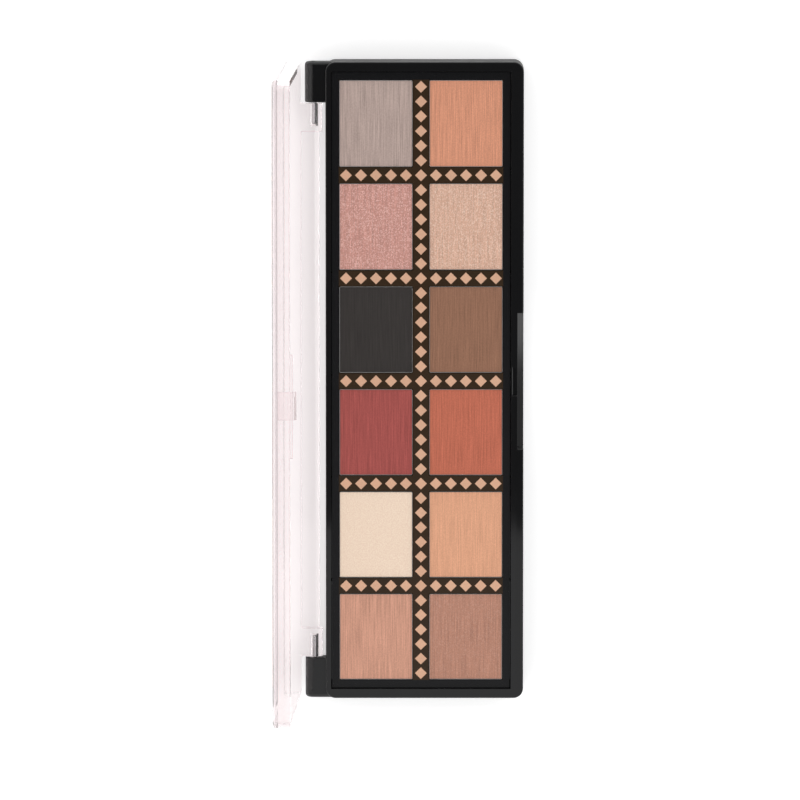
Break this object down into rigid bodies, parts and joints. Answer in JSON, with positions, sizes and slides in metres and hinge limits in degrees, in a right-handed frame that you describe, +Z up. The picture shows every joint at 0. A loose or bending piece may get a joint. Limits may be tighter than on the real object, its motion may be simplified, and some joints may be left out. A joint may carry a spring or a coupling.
{
  "type": "eyeshadow palette",
  "caption": "Slim hinged eyeshadow palette: black base and tray, pressed powders in metal pans, foil diamonds on the ribs and a clear snap lid.",
  "frame": {"origin": "middle of the base's underside", "axes": "+X runs along the palette, +Y points to the hinge and +Z up, with the base lying flat and the lid standing open"},
  "size_m": [0.184, 0.0716, 0.0675],
  "materials": {
    "gloss_black": "polished injection-moulded black",
    "matt_black": "matt printed black-brown",
    "clear_plastic": "clear polished plastic, faintly pink",
    "foil": "hot-stamped rose-gold foil",
    "label": "blank coated paper label",
    "glue": "soft hot-melt glue",
    "steel": "drawn steel wire",
    "pan_metal": "pressed aluminium",
    "powder_taupe": "matt pressed powder, taupe",
    "powder_apricot": "matt pressed powder, apricot",
    "powder_rose": "shimmer pressed powder, rose",
    "powder_champagne": "shimmer pressed powder, champagne",
    "powder_charcoal": "matt pressed powder, charcoal",
    "powder_cocoa": "matt pressed powder, cocoa",
    "powder_brick": "matt pressed powder, brick",
    "powder_terracotta": "matt pressed powder, terracotta",
    "powder_ivory": "matt pressed powder, ivory",
    "powder_peach": "matt pressed powder, peach",
    "powder_dusty_rose": "matt pressed powder, dusty rose",
    "powder_mauve": "matt pressed powder, mauve"
  },
  "bodies": {
    "base": {"base_shell": "gloss_black", "base_label": "label", "inner_tray": "matt_black", "diamond_foil": "foil", "glue_dots": "glue", "hinge_pin_left": "steel", "hinge_pin_right": "steel", "pan_taupe": "pan_metal", "pan_apricot": "pan_metal", "pan_rose": "pan_metal", "pan_champagne": "pan_metal", "pan_charcoal": "pan_metal", "pan_cocoa": "pan_metal", "pan_brick": "pan_metal", "pan_terracotta": "pan_metal", "pan_ivory": "pan_metal", "pan_peach": "pan_metal", "pan_dusty_rose": "pan_metal", "pan_mauve": "pan_metal", "powder_taupe": "powder_taupe", "powder_apricot": "powder_apricot", "powder_rose": "powder_rose", "powder_champagne": "powder_champagne", "powder_charcoal": "powder_charcoal", "powder_cocoa": "powder_cocoa", "powder_brick": "powder_brick", "powder_terracotta": "powder_terracotta", "powder_ivory": "powder_ivory", "powder_peach": "powder_peach", "powder_dusty_rose": "powder_dusty_rose", "powder_mauve": "powder_mauve"},
    "lid": {"lid": "clear_plastic"}
  },
  "joints": [
    {"name": "lid_hinge", "type": "hinge", "parent": "base", "child": "lid", "pos_m": [0, 0.0318, 0.0075], "axis": [-1, 0, 0], "range_deg": [-92.5, 32.5]}
  ]
}
